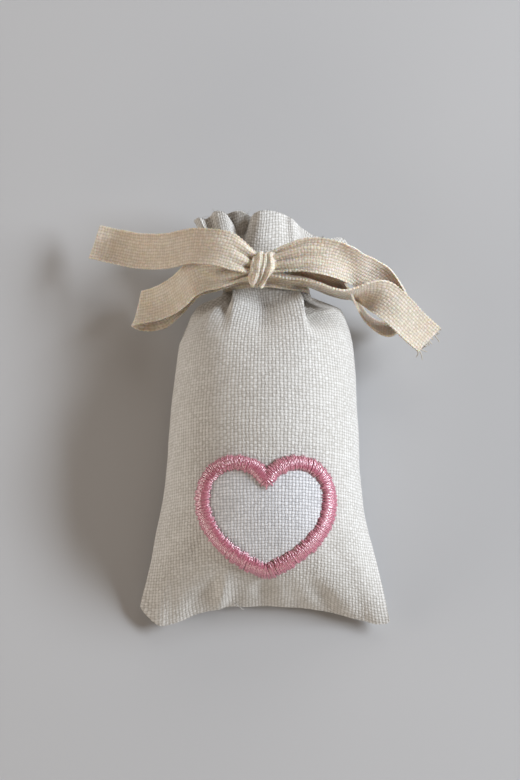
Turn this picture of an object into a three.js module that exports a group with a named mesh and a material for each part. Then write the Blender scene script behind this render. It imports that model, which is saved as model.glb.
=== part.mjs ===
// Lavender sachet: a filled cloth bag lying on its back, its neck gathered and tied with a tape bow.
// Millimetres. +X is the bag's right as seen from above, +Y runs from base to mouth, +Z is up.
import * as THREE from 'three';

// Materials and clearances
const clothThickness = 0.7;
const tapeThickness = 0.9;
const threadThickness = 0.5;
const patchThickness = 0.4;
const backingThickness = 0.3;
const fitGap = 0.3;

// Bag body: the origin is the middle of the resting face
const baseWidth = 74;
const girthWidth = 54.5;
const bodyHeight = 34;
const baseToOrigin = 53;
const originToNeck = 44.5;
const crownToBase = 49;
const seamHeight = 9.5;
const cornerSweep = 5;
const cornerDrop = 4.5;
const restCut = 0.8;

// Gathered neck and frill
const neckWidth = 27;
const neckHeight = 14.5;
const neckCentreHeight = 15.5;
const neckToMouth = 18.5;
const mouthWidth = 47;
const mouthHeight = 7.5;
const mouthCentreHeight = 18;
const mouthDroop = 4;
const mouthSlant = 8;
const neckPleat = 1.2;
const mouthPleat = 3.2;

// Heart on the front, measured along the middle of its border
const heartWidth = 37.6;
const heartHeight = 31.5;
const heartCleftDepth = 6;
const heartAboveBase = 8;
const satinWidth = 4.4;
const satinHeight = 1.1;
const backingMargin = 3;

// Tape bow
const tapeWidth = 10;
const wrapWidth = 7;
const wrapRoom = 0.5;
const knotLength = 6;
const knotDepth = 12;
const knotHeight = 8;
const knotTurn = -20;
const rootGap = 1.8;

// Seams and filling
const stitchLength = 3;
const stitchReach = 1.2;
const seamRoom = 0.6;
const fillSlack = 0.5;
const fillFromBase = 6;

const baseY = -baseToOrigin;
const neckY = originToNeck;
const mouthY = neckY + neckToMouth;
const bodyLength = neckY - baseY;
const heartTip = baseY + heartAboveBase;
const heartTop = heartTip + heartHeight;
const heartCleft = heartTop - heartCleftDepth;
const heartHalfWidth = heartWidth / 2;
const threadInset = fitGap + threadThickness / 2 + seamRoom;
const fillRoom = backingThickness + 2 * fitGap + fillSlack;
const fillSeamRoom = threadInset + threadThickness / 2 + fitGap + fillSlack;

const cloth = new THREE.MeshStandardMaterial({ name: 'linen', color: 0xded8cd, roughness: 0.95 });
const tape = new THREE.MeshStandardMaterial({ name: 'tape', color: 0xd8c9b2, roughness: 0.9 });
const whiteCloth = new THREE.MeshStandardMaterial({ name: 'patch', color: 0xe4e4ea, roughness: 0.95 });
const pinkThread = new THREE.MeshStandardMaterial({ name: 'satin', color: 0xd9788f, roughness: 0.5 });
const sewingThread = new THREE.MeshStandardMaterial({ name: 'thread', color: 0xf0ece2, roughness: 0.7 });
const backingFelt = new THREE.MeshStandardMaterial({ name: 'backing', color: 0xf4f4f2, roughness: 1 });
const lavender = new THREE.MeshStandardMaterial({ name: 'lavender', color: 0x6c5a86, roughness: 1 });

const vec = (x, y, z) => new THREE.Vector3(x, y, z);
const clamp01 = (t) => Math.min(1, Math.max(0, t));
const ease = (t) => clamp01(t) ** 2 * (3 - 2 * clamp01(t));
const mix = (a, b, t) => a + (b - a) * t;

// Smooth curve through [position, value] points that never overshoots them.
function profile(points) {
  const steps = points.slice(1).map((p, i) => (p[1] - points[i][1]) / (p[0] - points[i][0]));
  const slopes = points.map((p, i) => {
    if (i === 0) return steps[0];
    if (i === steps.length) return steps[i - 1];
    const product = steps[i - 1] * steps[i];
    return product <= 0 ? 0 : (2 * product) / (steps[i - 1] + steps[i]);
  });
  return (s) => {
    const last = points.length - 1;
    const at = Math.min(points[last][0], Math.max(points[0][0], s));
    let i = 0;
    while (i < last - 1 && at > points[i + 1][0]) i += 1;
    const span = points[i + 1][0] - points[i][0];
    const t = (at - points[i][0]) / span;
    const fromStart = (1 + 2 * t) * (1 - t) ** 2 * points[i][1] + t * (1 - t) ** 2 * span * slopes[i];
    const fromEnd = t * t * (3 - 2 * t) * points[i + 1][1] - t * t * (1 - t) * span * slopes[i + 1];
    return fromStart + fromEnd;
  };
}

// Inside of the bag: half width, seam level, height above the seam and depth below it, all along Y.
const bodyAt = (share) => baseY + bodyLength * share;
const frillAt = (share) => neckY + neckToMouth * share;
const halfBase = baseWidth / 2 - clothThickness;
const halfGirth = girthWidth / 2 - clothThickness;
const halfNeck = neckWidth / 2 - clothThickness;
const halfMouth = mouthWidth / 2 - clothThickness;
const crownRise = bodyHeight - seamHeight - clothThickness;
const neckRise = neckHeight / 2 - clothThickness;
const mouthRise = mouthHeight / 2 - clothThickness;

const halfWidth = profile([
  [bodyAt(0), halfBase],
  [bodyAt(0.16), mix(halfGirth, halfBase, 0.62)],
  [bodyAt(0.36), mix(halfGirth, halfBase, 0.28)],
  [bodyAt(0.7), halfGirth],
  [bodyAt(0.8), mix(halfNeck, halfGirth, 0.925)],
  [bodyAt(0.88), mix(halfNeck, halfGirth, 0.68)],
  [bodyAt(0.94), mix(halfNeck, halfGirth, 0.34)],
  [bodyAt(1), halfNeck],
  [frillAt(0.45), mix(halfNeck, halfMouth, 0.55)],
  [frillAt(1), halfMouth],
]);
const seamLevel = profile([
  [bodyAt(0), seamHeight],
  [bodyAt(0.7), seamHeight],
  [bodyAt(1), neckCentreHeight],
  [frillAt(1), mouthCentreHeight],
]);
const upperRise = profile([
  [baseY + crownToBase, crownRise],
  [bodyAt(0.75), mix(neckRise, crownRise, 0.83)],
  [bodyAt(0.88), mix(neckRise, crownRise, 0.45)],
  [bodyAt(1), neckRise],
  [frillAt(1), mouthRise],
]);
const lowerDepth = profile([
  [bodyAt(0), 0],
  [bodyAt(0.06), seamHeight + restCut],
  [bodyAt(0.72), seamHeight + restCut],
  [bodyAt(1), neckRise],
  [frillAt(1), mouthRise],
]);
// Power of the back's section: below 1 it is flat underneath with tight sides, at 1 it is round.
const backFlatness = profile([
  [bodyAt(0.7), 0.6],
  [bodyAt(0.9), 1],
]);
const pleat = profile([
  [bodyAt(0.68), 0],
  [bodyAt(1), neckPleat],
  [mouthY, mouthPleat],
]);

function frontRise(y) {
  const toBase = (baseY + crownToBase - y) / crownToBase;
  return toBase > 0 ? crownRise * Math.sqrt(Math.max(0, 1 - toBase ** 3)) : upperRise(y);
}

function backDepth(y) {
  const fromBase = clamp01((y - baseY) / (bodyAt(0.06) - baseY));
  return fromBase < 1 ? (seamHeight + restCut) * Math.sqrt(1 - (1 - fromBase) ** 2) : lowerDepth(y);
}

// Swept base corners, drooping mouth and the folds that both panels share.
const fineFold = 0.3;
const foldReach = 1 + fineFold;

function settle(x, y, z) {
  const across = x / halfWidth(y);
  const nearBase = (1 - clamp01((y - baseY) / bodyLength)) ** 3;
  const inFrill = ease((y - neckY - wrapWidth / 2) / (neckToMouth - wrapWidth / 2));
  const folds = Math.cos(2.5 * Math.PI * across) + fineFold * Math.cos(6.5 * Math.PI * across);
  const sweep = cornerSweep * nearBase * (x / halfBase) ** 2;
  const slant = mouthSlant * inFrill * ease((across - 0.1) / 0.8);
  const drop = cornerDrop * nearBase * (x / halfBase) ** 2 + mouthDroop * inFrill * across ** 2;
  return vec(x, y - sweep - slant, z - drop + pleat(y) * folds);
}

// Inner faces of the two panels, by angle from the right seam over to the left one.
function frontFace(angle, y) {
  const rise = frontRise(y) * Math.sin(angle);
  return settle(halfWidth(y) * Math.cos(angle), y, seamLevel(y) + fitGap / 2 + rise);
}

function backFace(angle, y) {
  const depth = backDepth(y) * Math.max(0, Math.sin(angle)) ** backFlatness(y);
  const point = settle(halfWidth(y) * Math.cos(angle), y, seamLevel(y) - fitGap / 2 - depth);
  point.z = Math.max(point.z, clothThickness);
  return point;
}

// A point at some height outside an inner face; the steps keep off the face's own edges.
function outside(face, angle, y, height) {
  const a = Math.min(Math.PI - 0.05, Math.max(0.05, angle));
  const b = Math.min(mouthY - 0.06, Math.max(baseY + 0.08, y));
  const alongAngle = face(a + 0.01, b).sub(face(a - 0.01, b));
  const alongY = face(a, b + 0.05).sub(face(a, b - 0.05));
  const normal = alongY.cross(alongAngle).normalize();
  const point = face(angle, y).addScaledVector(normal, face === backFace ? -height : height);
  point.z = Math.max(point.z, 0);
  return point;
}

function frontOver(x, y, height) {
  return outside(frontFace, Math.acos(x / halfWidth(y)), y, height);
}

function solid(points, index) {
  let volume = 0;
  for (let i = 0; i < index.length; i += 3) {
    const [a, b, c] = [points[index[i]], points[index[i + 1]], points[index[i + 2]]];
    volume += a.dot(b.clone().cross(c));
  }
  if (volume < 0) {
    for (let i = 0; i < index.length; i += 3) [index[i], index[i + 1]] = [index[i + 1], index[i]];
  }
  const geometry = new THREE.BufferGeometry();
  const numbers = points.flatMap((p) => p.toArray());
  geometry.setAttribute('position', new THREE.Float32BufferAttribute(numbers, 3));
  geometry.setIndex(index);
  geometry.computeVertexNormals();
  return geometry;
}

// Closed solid between two equal grids of points.
function sheetSolid(upper, lower) {
  const rows = upper.length;
  const columns = upper[0].length;
  const points = [...upper.flat(), ...lower.flat()];
  const index = [];
  const at = (layer, i, j) => layer * rows * columns + i * columns + j;
  const quad = (a, b, c, d) => index.push(a, b, c, a, c, d);
  for (let i = 0; i < rows - 1; i += 1) {
    for (let j = 0; j < columns - 1; j += 1) {
      quad(at(0, i, j), at(0, i, j + 1), at(0, i + 1, j + 1), at(0, i + 1, j));
      quad(at(1, i, j), at(1, i + 1, j), at(1, i + 1, j + 1), at(1, i, j + 1));
    }
  }
  const border = [];
  for (let j = 0; j < columns - 1; j += 1) border.push([0, j]);
  for (let i = 0; i < rows - 1; i += 1) border.push([i, columns - 1]);
  for (let j = columns - 1; j > 0; j -= 1) border.push([rows - 1, j]);
  for (let i = rows - 1; i > 0; i -= 1) border.push([i, 0]);
  border.forEach(([i, j], k) => {
    const [m, n] = border[(k + 1) % border.length];
    quad(at(0, m, n), at(0, i, j), at(1, i, j), at(1, m, n));
  });
  return solid(points, index);
}

// Closed solid through rings of points, with closed ends or joined end to end.
function loftSolid(rings, joined = false) {
  const size = rings[0].length;
  const points = rings.flat();
  const index = [];
  const spans = joined ? rings.length : rings.length - 1;
  for (let i = 0; i < spans; i += 1) {
    const next = (i + 1) % rings.length;
    for (let j = 0; j < size; j += 1) {
      const k = (j + 1) % size;
      index.push(i * size + j, i * size + k, next * size + k);
      index.push(i * size + j, next * size + k, next * size + j);
    }
  }
  if (!joined) {
    for (const ring of [0, rings.length - 1]) {
      const middle = points.length;
      points.push(rings[ring].reduce((sum, p) => sum.add(p), vec(0, 0, 0)).divideScalar(size));
      for (let j = 0; j < size; j += 1) {
        const here = ring * size + j;
        const next = ring * size + ((j + 1) % size);
        index.push(middle, ...(ring === 0 ? [next, here] : [here, next]));
      }
    }
  }
  return solid(points, index);
}

const group = new THREE.Group();
group.name = 'lavender_sachet';

function add(parent, name, geometry, material) {
  const mesh = new THREE.Mesh(geometry, material);
  mesh.name = name;
  parent.add(mesh);
}

// Front and back panels
const bodyRows = 14;
const frillRows = 5;
const panelColumns = 28;
const rowPositions = [];
for (let i = 0; i <= bodyRows; i += 1) rowPositions.push(bodyAt(0.5 - Math.cos((Math.PI * i) / bodyRows) / 2));
for (let i = 1; i <= frillRows; i += 1) rowPositions.push(frillAt(i / frillRows));

function panel(face) {
  const grid = (height) => rowPositions.map((y) => {
    const row = [];
    for (let j = 0; j <= panelColumns; j += 1) {
      row.push(outside(face, (Math.PI * j) / panelColumns, y, height));
    }
    return row;
  });
  return sheetSolid(grid(clothThickness), grid(0));
}

add(group, 'front_panel', panel(frontFace), cloth);
add(group, 'back_panel', panel(backFace), cloth);

// Seam threads, zigzag just inside the edges that they join
function threadSolid(points) {
  const radius = threadThickness / 2;
  const rings = points.map((point, i) => {
    const ahead = points[Math.min(i + 1, points.length - 1)];
    const behind = points[Math.max(i - 1, 0)];
    const along = ahead.clone().sub(behind).normalize();
    const side = vec(0, 0, 1).cross(along).normalize();
    const rise = along.clone().cross(side);
    return [0, 1, 2, 3].map((k) => {
      const turn = (Math.PI * (k + 0.5)) / 2;
      const offset = side.clone().multiplyScalar(radius * Math.cos(turn));
      return point.clone().add(offset.addScaledVector(rise, radius * Math.sin(turn)));
    });
  });
  return loftSolid(rings);
}

const zigzag = (i) => (i % 2 === 0 ? stitchReach : -stitchReach) / 2;

function sideSeam(sign) {
  const from = bodyAt(0.06);
  const count = Math.round((bodyAt(0.9) - from) / (stitchLength / 2));
  const points = [];
  for (let i = 0; i <= count; i += 1) {
    const y = from + (i * stitchLength) / 2;
    points.push(settle(sign * (halfWidth(y) - threadInset), y, seamLevel(y) + zigzag(i)));
  }
  return threadSolid(points);
}

function baseSeam() {
  const reach = halfBase - fillSeamRoom * 2;
  const count = Math.round((2 * reach) / (stitchLength / 2));
  const points = [];
  for (let i = 0; i <= count; i += 1) {
    const y = baseY + threadInset;
    points.push(settle(mix(-reach, reach, i / count), y, seamLevel(y) + zigzag(i)));
  }
  return threadSolid(points);
}

add(group, 'left_seam_thread', sideSeam(-1), sewingThread);
add(group, 'right_seam_thread', sideSeam(1), sewingThread);
add(group, 'base_seam_thread', baseSeam(), sewingThread);

// Lavender filling, clear of the panels, the seams and the heart's backing
const fillRings = 11;
const fillSides = 22;

function filling() {
  const rings = [];
  const first = baseY + fillFromBase;
  const last = bodyAt(0.9);
  for (let i = 0; i <= fillRings; i += 1) {
    const y = mix(first, last, 0.5 - Math.cos((Math.PI * i) / fillRings) / 2);
    const ring = [];
    for (let j = 0; j < fillSides; j += 1) {
      const angle = (2 * Math.PI * j) / fillSides;
      const side = Math.sin(angle);
      const reach = side >= 0 ? frontRise(y) : -backDepth(y);
      const room = side >= 0 ? -fillRoom : fillRoom;
      const x = (halfWidth(y) - fillSeamRoom) * Math.cos(angle);
      const z = seamLevel(y) + (reach + room) * Math.abs(side) ** (side >= 0 ? 1 : 0.75);
      const point = settle(x, y, z);
      point.z = Math.max(point.z, clothThickness + 2 * fitGap);
      ring.push(point);
    }
    rings.push(ring);
  }
  return loftSolid(rings);
}

add(group, 'lavender_filling', filling(), lavender);

// Heart: outline of the right half from cleft to tip, then mirrored
const heartShape = new THREE.CurvePath();
const flat = (x, y) => new THREE.Vector2(x, y);
const widest = flat(heartHalfWidth, mix(heartTop, heartTip, 0.34));
heartShape.add(new THREE.CubicBezierCurve(
  flat(0, heartCleft),
  flat(heartHalfWidth * 0.2, heartCleft + heartCleftDepth * 1.25),
  flat(heartHalfWidth, heartTop + heartCleftDepth * 0.45),
  widest,
));
heartShape.add(new THREE.CubicBezierCurve(
  widest,
  flat(heartHalfWidth, mix(heartTop, heartTip, 0.62)),
  flat(heartHalfWidth * 0.38, mix(heartTop, heartTip, 0.84)),
  flat(0, heartTip),
));

const heartSteps = 22;
const heartHalf = heartShape.getSpacedPoints(heartSteps);

// The outline moved outwards by a distance, mitred where it meets the middle line.
function heartOutline(distance) {
  const half = heartHalf.map((point, i) => {
    const ahead = heartHalf[Math.min(i + 1, heartSteps)];
    const behind = heartHalf[Math.max(i - 1, 0)];
    const along = ahead.clone().sub(behind).normalize();
    const out = flat(-along.y, along.x);
    if (i === 0 || i === heartSteps) return flat(0, point.y + distance / out.y);
    return point.clone().addScaledVector(out, distance);
  });
  const mirrored = half.slice(1, -1).reverse().map((p) => flat(-p.x, p.y));
  return [...half, ...mirrored];
}

// A thin piece filling the heart, following the front panel
function heartSheet(distance, low, high) {
  const outline = heartOutline(distance);
  const middle = flat(0, mix(heartTop, heartTip, 0.45));
  const shares = [1, 0.75, 0.5, 0.25];
  const layer = (height, order) => order.map((share) => outline.map((p) => {
    const at = middle.clone().lerp(p, share);
    return frontOver(at.x, at.y, height);
  }));
  const inwards = [...shares].reverse();
  return loftSolid([...layer(high, inwards), ...layer(low, shares)]);
}

const patchLow = clothThickness + fitGap;
const patchHigh = patchLow + patchThickness;
add(group, 'heart_patch', heartSheet(0, patchLow, patchHigh), whiteCloth);
add(group, 'heart_backing', heartSheet(backingMargin, -fitGap - backingThickness, -fitGap), backingFelt);

// Satin border: stands on the panel outside the patch and laps over the patch's edge
function satinBorder() {
  const half = satinWidth / 2;
  const lap = patchHigh + fitGap;
  const top = lap + satinHeight;
  const section = [
    [half, patchLow], [half * 0.75, mix(patchLow, top, 0.75)], [0, top],
    [-half * 0.75, mix(lap, top, 0.6)], [-half, lap], [fitGap, lap], [fitGap, patchLow],
  ];
  const outlines = section.map(([distance]) => heartOutline(distance));
  const rings = outlines[0].map((unused, i) => section.map(([, height], k) => {
    const p = outlines[k][i];
    return frontOver(p.x, p.y, height);
  }));
  return loftSolid(rings, true);
}

add(group, 'heart_satin_border', satinBorder(), pinkThread);

// Tape: turns round the neck, then knot, loops and tails placed from the knot
function neckWrap() {
  const rings = [];
  const rowOffsets = [-wrapWidth / 2, 0, wrapWidth / 2];
  for (let j = 0; j < 32; j += 1) {
    const angle = (2 * Math.PI * j) / 32;
    const point = (offset, height) => {
      const y = neckY + offset;
      const away = clothThickness + fitGap + wrapRoom + height;
      const rise = (Math.sin(angle) >= 0 ? frontRise(y) : backDepth(y)) + foldReach * pleat(y) + away;
      const x = (halfWidth(y) + away) * Math.cos(angle);
      return vec(x, y, seamLevel(y) + rise * Math.sin(angle));
    };
    const inner = rowOffsets.map((offset) => point(offset, 0));
    const outer = rowOffsets.map((offset) => point(offset, tapeThickness)).reverse();
    rings.push([...inner, ...outer]);
  }
  return loftSolid(rings, true);
}

add(group, 'tape_neck_wrap', neckWrap(), tape);

const wrapTop = neckCentreHeight + neckHeight / 2 + foldReach * neckPleat + fitGap + wrapRoom + tapeThickness;
const bow = new THREE.Group();
bow.name = 'bow';
bow.position.set(0, neckY, wrapTop + fitGap + knotHeight / 2);
group.add(bow);

// The knot is a band drawn tight round the bundle, with two creases along it
function knot() {
  const rings = [];
  const turn = THREE.MathUtils.degToRad(knotTurn);
  const stations = [0.6, 0.86, 0.96, 0.9, 1, 0.9, 0.96, 0.86, 0.6];
  stations.forEach((size, i) => {
    const x = mix(-knotLength / 2, knotLength / 2, i / (stations.length - 1));
    const ring = [];
    for (let j = 0; j < 20; j += 1) {
      const angle = (2 * Math.PI * j) / 20;
      const y = (knotDepth / 2) * size * Math.cos(angle);
      const z = (knotHeight / 2) * size * Math.sin(angle);
      ring.push(vec(x, y, z).applyAxisAngle(vec(0, 0, 1), turn));
    }
    rings.push(ring);
  });
  return loftSolid(rings);
}

add(bow, 'tape_knot', knot(), tape);

// A strip of tape through stations: place in tape widths, measured out from the knot's end on
// one side, direction across the tape and share of the full width.
const stepsPerStation = 3;

function tapeStrip(side, stations) {
  const root = knotLength / 2 + rootGap;
  const points = stations.map(({ at: [out, y, z] }) => {
    return vec(side * (root + out * tapeWidth), y * tapeWidth, z * tapeWidth);
  });
  const place = new THREE.CatmullRomCurve3(points);
  const across = new THREE.CatmullRomCurve3(stations.map((s) => vec(...s.across)));
  const width = profile(stations.map((s, i) => [i / (stations.length - 1), s.width * tapeWidth]));
  const count = (stations.length - 1) * stepsPerStation;
  const rings = [];
  for (let i = 0; i <= count; i += 1) {
    const t = i / count;
    const along = place.getTangent(t);
    const edge = across.getPoint(t);
    edge.addScaledVector(along, -edge.dot(along)).normalize().multiplyScalar(width(t) / 2);
    const face = edge.clone().cross(along).normalize().multiplyScalar(tapeThickness / 2);
    const corner = (a, b) => place.getPoint(t).addScaledVector(edge, a).addScaledVector(face, b);
    rings.push([corner(-1, -1), corner(1, -1), corner(1, 1), corner(-1, 1)]);
  }
  return loftSolid(rings);
}

const leftTail = [
  { at: [0, 0.12, 0.12], across: [0, 1, 0.2], width: 0.5 },
  { at: [0.38, 0.36, 0.22], across: [0.1, 1, 0.1], width: 0.75 },
  { at: [0.82, 0.58, 0.24], across: [0.1, 1, 0], width: 0.95 },
  { at: [1.48, 0.7, -0.06], across: [0.05, 1, 0], width: 1 },
  { at: [2.09, 0.73, -0.6], across: [0, 1, 0], width: 1 },
  { at: [2.71, 0.81, -1.2], across: [0.1, 1, 0], width: 1 },
  { at: [3.36, 0.99, -1.74], across: [0.2, 1, 0], width: 1 },
  { at: [4, 1.19, -2.16], across: [0.25, 1, 0], width: 1 },
  { at: [4.66, 1.36, -2.4], across: [0.25, 1, 0], width: 1 },
];
const leftLoop = [
  { at: [0, -0.15, -0.08], across: [-0.1, 1, 0.1], width: 0.45 },
  { at: [0.64, -0.28, -0.1], across: [-0.25, 1, 0.05], width: 0.7 },
  { at: [1.4, -0.42, -0.4], across: [-0.3, 1, 0], width: 0.95 },
  { at: [2.16, -0.64, -0.93], across: [-0.3, 1, 0], width: 1 },
  { at: [2.8, -0.84, -1.45], across: [-0.25, 1, 0], width: 1 },
  { at: [3.31, -0.93, -1.86], across: [-0.2, 1, 0], width: 1 },
  { at: [3.48, -0.94, -2.09], across: [-0.15, 1, 0], width: 1 },
  { at: [3.34, -0.94, -2.28], across: [-0.15, 1, 0], width: 1 },
  { at: [2.82, -0.88, -1.96], across: [-0.2, 1, 0], width: 1 },
  { at: [2.18, -0.72, -1.32], across: [-0.3, 1, 0], width: 1 },
  { at: [1.4, -0.48, -0.69], across: [-0.3, 1, 0], width: 0.95 },
  { at: [0.65, -0.3, -0.35], across: [-0.25, 1, 0], width: 0.7 },
  { at: [0, -0.17, -0.28], across: [-0.1, 1, 0], width: 0.45 },
];
const rightLoop = [
  { at: [0, 0.08, 0.16], across: [0, 1, 0.2], width: 0.5 },
  { at: [0.43, 0.14, 0.26], across: [0, 1, 0.2], width: 0.75 },
  { at: [0.97, 0.17, 0.32], across: [0.05, 1, 0.25], width: 0.95 },
  { at: [1.7, 0.14, 0.24], across: [0.15, 0.85, 0.5], width: 1 },
  { at: [2.37, -0.04, -0.18], across: [0.35, 0.62, 0.7], width: 1 },
  { at: [3.03, -0.27, -0.85], across: [0.4, 0.45, 0.8], width: 1 },
  { at: [3.5, -0.51, -1.46], across: [0.4, 0.3, 0.85], width: 1 },
  { at: [3.65, -0.85, -1.9], across: [0.1, 0.2, 0.97], width: 1 },
  { at: [3.43, -1.21, -2.1], across: [0, 0.1, 1], width: 1 },
  { at: [2.97, -1.24, -2.08], across: [0, 0.1, 1], width: 1 },
  { at: [2.56, -0.88, -1.88], across: [0, 0.15, 1], width: 1 },
  { at: [2.13, -0.54, -1.52], across: [0, 0.25, 0.97], width: 1 },
  { at: [1.45, -0.22, -0.8], across: [0, 0.45, 0.89], width: 0.85 },
  { at: [0.68, -0.1, -0.34], across: [0, 0.85, 0.5], width: 0.6 },
  { at: [0, -0.04, -0.22], across: [0, 1, 0.3], width: 0.45 },
];
const rightTail = [
  { at: [0, -0.34, -0.1], across: [0, 0.5, 0.86], width: 0.5 },
  { at: [0.52, -0.41, -0.22], across: [0, 0.52, 0.85], width: 0.65 },
  { at: [1.12, -0.52, -0.4], across: [0, 0.55, 0.83], width: 0.85 },
  { at: [1.72, -0.7, -0.59], across: [0.15, 0.62, 0.77], width: 1 },
  { at: [2.32, -0.87, -0.72], across: [0.3, 0.72, 0.6], width: 1 },
  { at: [2.94, -1.02, -0.85], across: [0.4, 0.8, 0.35], width: 1 },
  { at: [3.53, -1.3, -1.1], across: [0.5, 0.83, 0.2], width: 1 },
  { at: [4.1, -1.62, -1.46], across: [0.52, 0.84, 0.1], width: 1 },
  { at: [4.49, -1.86, -1.75], across: [0.53, 0.85, 0.1], width: 1 },
];

add(bow, 'tape_left_tail', tapeStrip(-1, leftTail), tape);
add(bow, 'tape_left_loop', tapeStrip(-1, leftLoop), tape);
add(bow, 'tape_right_loop', tapeStrip(1, rightLoop), tape);
add(bow, 'tape_right_tail', tapeStrip(1, rightTail), tape);

export default group;
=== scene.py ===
import math

import bpy
import mathutils
import numpy as np
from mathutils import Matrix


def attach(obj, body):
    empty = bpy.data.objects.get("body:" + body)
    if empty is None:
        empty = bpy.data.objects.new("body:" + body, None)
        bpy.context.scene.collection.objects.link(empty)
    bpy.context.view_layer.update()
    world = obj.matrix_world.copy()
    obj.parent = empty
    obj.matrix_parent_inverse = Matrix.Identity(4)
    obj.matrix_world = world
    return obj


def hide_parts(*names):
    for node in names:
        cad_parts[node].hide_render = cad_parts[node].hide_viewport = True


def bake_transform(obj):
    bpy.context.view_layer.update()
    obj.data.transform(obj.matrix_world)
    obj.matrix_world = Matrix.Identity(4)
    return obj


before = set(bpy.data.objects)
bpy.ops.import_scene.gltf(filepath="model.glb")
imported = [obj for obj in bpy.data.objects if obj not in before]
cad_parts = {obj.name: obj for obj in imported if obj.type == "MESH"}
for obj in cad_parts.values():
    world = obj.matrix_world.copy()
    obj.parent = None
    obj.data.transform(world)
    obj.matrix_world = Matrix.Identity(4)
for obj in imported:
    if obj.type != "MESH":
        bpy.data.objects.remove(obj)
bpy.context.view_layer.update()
mm = 0.001


def addObject(name, data):
    thing = bpy.data.objects.new(name, data)
    bpy.context.scene.collection.objects.link(thing)
    return thing


# Camera: looks along +Y and steeply down, as the photograph was taken
cameraSet = {
    "target": (-1.8, 10.4, 18.0), "elevation": 80.0, "distance": 672.0,
    "focalPixels": 2251.0, "imageHeight": 780, "sensor": 36, "clip": (0.01, 10),
}


def makeCamera():
    lens = bpy.data.cameras.new("photoCamera")
    lens.sensor_width = cameraSet["sensor"]
    lens.lens = lens.sensor_width * cameraSet["focalPixels"] / cameraSet["imageHeight"]
    lens.clip_start, lens.clip_end = cameraSet["clip"]
    tilt = math.radians(cameraSet["elevation"])
    camera = addObject("photoCamera", lens)
    x, y, z = cameraSet["target"]
    far = cameraSet["distance"]
    camera.location = (x * mm, (y - far * math.cos(tilt)) * mm, (z + far * math.sin(tilt)) * mm)
    camera.rotation_euler = (math.pi / 2 - tilt, 0, 0)
    bpy.context.scene.camera = camera


makeCamera()
print("camera set")


# Easing from 0 to 1: 3t squared less 2t cubed
def eased(t):
    t = np.clip(t, 0, 1)
    return t * t * (3 - 2 * t)


# A bell of height 1 round 0, with its own width on each side
def bell(t, below, above):
    return np.exp(-(t / np.where(t < 0, below, above)) ** 2)


# Cubic through (position, value) points: steady slopes never overshoot, free ones average their neighbours
def curveThrough(points, steady=True):
    at, value = np.array(points, float).T
    steps = np.diff(value) / np.diff(at)
    if steady:
        product = steps[:-1] * steps[1:]
        inner = np.where(product > 0, 2 * product / np.where(product > 0, steps[:-1] + steps[1:], 1), 0)
    else:
        inner = (value[2:] - value[:-2]) / (at[2:] - at[:-2])
    slopes = np.concatenate([steps[:1], inner, steps[-1:]])

    def curve(s):
        s = np.clip(s, at[0], at[-1])
        i = np.clip(np.searchsorted(at, s, side="right") - 1, 0, len(at) - 2)
        span = at[i + 1] - at[i]
        t = (s - at[i]) / span
        start = (1 + 2 * t) * (1 - t) ** 2 * value[i] + t * (1 - t) ** 2 * span * slopes[i]
        end = t * t * (3 - 2 * t) * value[i + 1] - t * t * (1 - t) * span * slopes[i + 1]
        return start + end

    return curve


# Smooth random relief: values of a seeded table, eased between the corners of each cell
def softNoise(u, v, cell, seed):
    size = 64
    table = np.random.default_rng(seed).uniform(-1, 1, (size, size))
    u, v = u / cell, v / cell
    i, j = np.floor(u).astype(int), np.floor(v).astype(int)
    a, b = eased(u - i), eased(v - j)
    low = table[i % size, j % size] * (1 - a) + table[(i + 1) % size, j % size] * a
    high = table[i % size, (j + 1) % size] * (1 - a) + table[(i + 1) % size, (j + 1) % size] * a
    return low * (1 - b) + high * b


# Coordinates side by side, each spread to the common shape
def joined(*parts):
    return np.stack(np.broadcast_arrays(*parts), -1)


def unit(v):
    return v / np.maximum(np.linalg.norm(v, axis=-1, keepdims=True), 1e-12)


# Normals of a grid: cross product of its two slopes
def gridNormals(points, wrapped=False):
    if wrapped:
        across = np.roll(points, -1, 1) - np.roll(points, 1, 1)
    else:
        across = np.gradient(points, axis=1)
    return unit(np.cross(np.gradient(points, axis=0), across))


# Length along a grid's columns (axis 0) or rows (axis 1), from its start
def lengthAlong(points, axis):
    steps = np.linalg.norm(np.diff(points, axis=axis), axis=-1)
    return np.insert(np.cumsum(steps, axis=axis), 0, 0, axis=axis)


# A mesh object from points in millimetres; faces are turned outwards by the sign of the volume they enclose
def makePiece(name, points, faces, weave, sharpAngle=60):
    points = points.reshape(-1, 3) * mm
    a, b, c, d = (points[faces[:, k]] for k in range(4))
    volume = (a * np.cross(b, c)).sum() + (a * np.cross(c, d)).sum()
    if volume < 0:
        faces, weave = faces[:, ::-1], weave[:, ::-1]
    mesh = bpy.data.meshes.new(name)
    mesh.from_pydata(points.tolist(), [], faces.tolist())
    mesh.uv_layers.new(name="weave").uv.foreach_set("vector", weave.astype(np.float32).ravel())
    mesh.polygons.foreach_set("use_smooth", np.ones(len(faces), bool))
    mesh.set_sharp_from_angle(angle=math.radians(sharpAngle))
    mesh.update()
    return addObject(name, mesh)


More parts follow.
